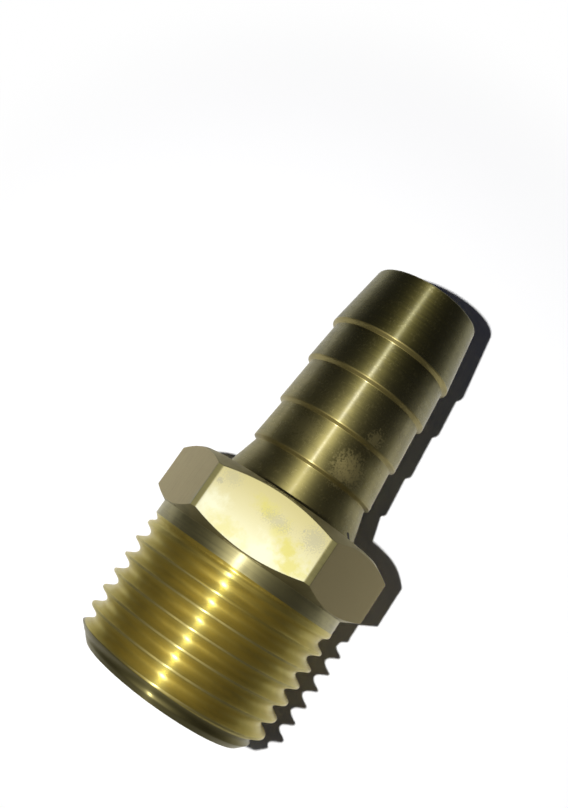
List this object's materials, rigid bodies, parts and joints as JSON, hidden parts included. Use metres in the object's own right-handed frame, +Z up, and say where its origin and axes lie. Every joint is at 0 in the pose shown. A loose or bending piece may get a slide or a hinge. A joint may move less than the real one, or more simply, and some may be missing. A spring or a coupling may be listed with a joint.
{
  "type": "hose barb fitting",
  "caption": "Straight brass hose tail: male taper pipe thread, hexagon for a spanner and ridged barb for a push-on hose.",
  "frame": {"origin": "on the waterway's axis, halfway along the hexagon", "axes": "+X along the waterway towards the hose end, +Z up through the middle of the hexagon's upper flat"},
  "size_m": [0.0461, 0.0239, 0.021],
  "materials": {
    "brass": "bright turned brass, slightly tarnished"
  },
  "bodies": {
    "root": {"hose_barb_fitting": "brass"}
  },
  "joints": []
}
